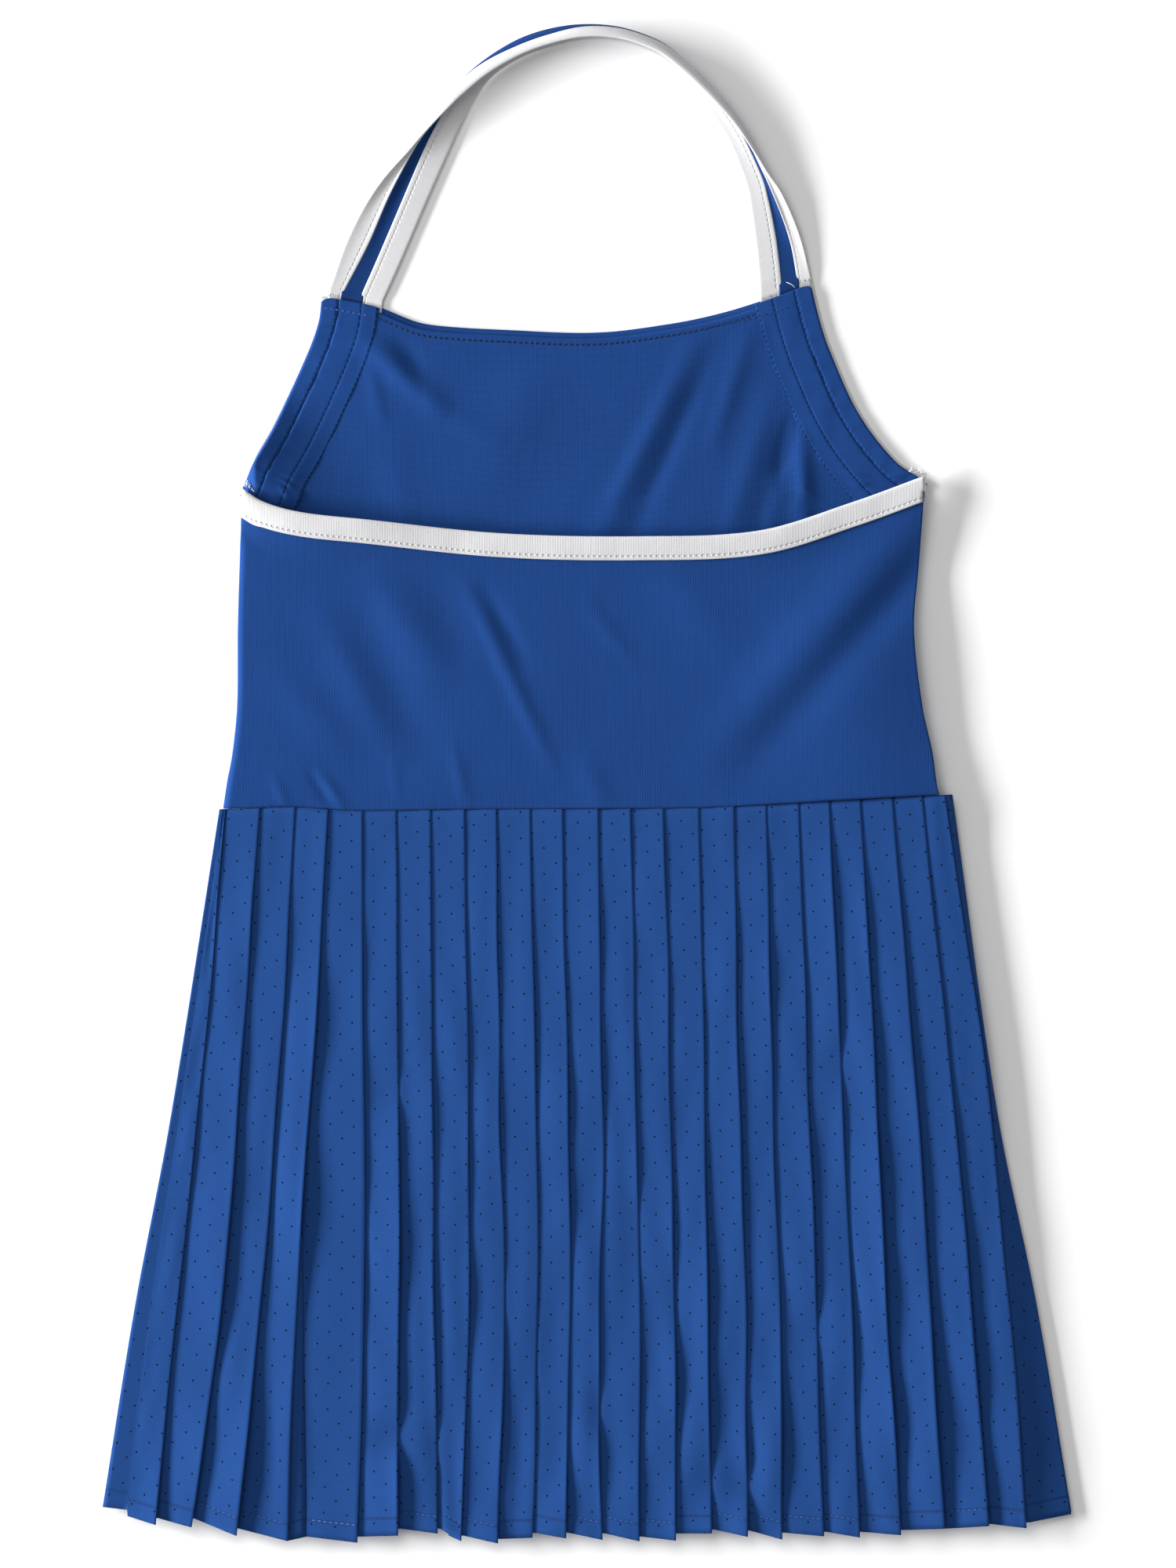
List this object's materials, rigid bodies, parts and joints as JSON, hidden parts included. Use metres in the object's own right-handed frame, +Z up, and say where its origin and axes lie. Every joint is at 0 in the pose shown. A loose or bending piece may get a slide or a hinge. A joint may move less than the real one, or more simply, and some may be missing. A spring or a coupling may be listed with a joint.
{
  "type": "halter tennis dress laid flat",
  "caption": "Girl's halter tennis dress with a plain knit bodice, a perforated knife-pleated skirt and white binding, laid flat with its back up.",
  "frame": {"origin": "middle of the bounding box, on the surface that the dress lies on", "axes": "+X across the dress to the right as seen from above, +Y from the hem towards the neck, +Z up from the surface"},
  "size_m": [0.4268, 0.6685, 0.0152],
  "materials": {
    "bodice_knit": "fine smooth knit, royal blue",
    "skirt_cloth": "light perforated woven cloth, royal blue",
    "white_binding": "folded white knit binding"
  },
  "bodies": {
    "root": {"front_bodice": "bodice_knit", "front_lining": "bodice_knit", "armhole_binding_left": "white_binding", "armhole_facing_left": "bodice_knit", "armhole_band_left": "bodice_knit", "armhole_binding_right": "white_binding", "armhole_facing_right": "bodice_knit", "armhole_band_right": "bodice_knit", "back_bodice": "bodice_knit", "back_binding": "white_binding", "skirt_front": "skirt_cloth", "skirt_back": "skirt_cloth", "strap_binding_outer": "white_binding", "strap_web": "bodice_knit", "strap_binding_inner": "white_binding"}
  },
  "joints": []
}
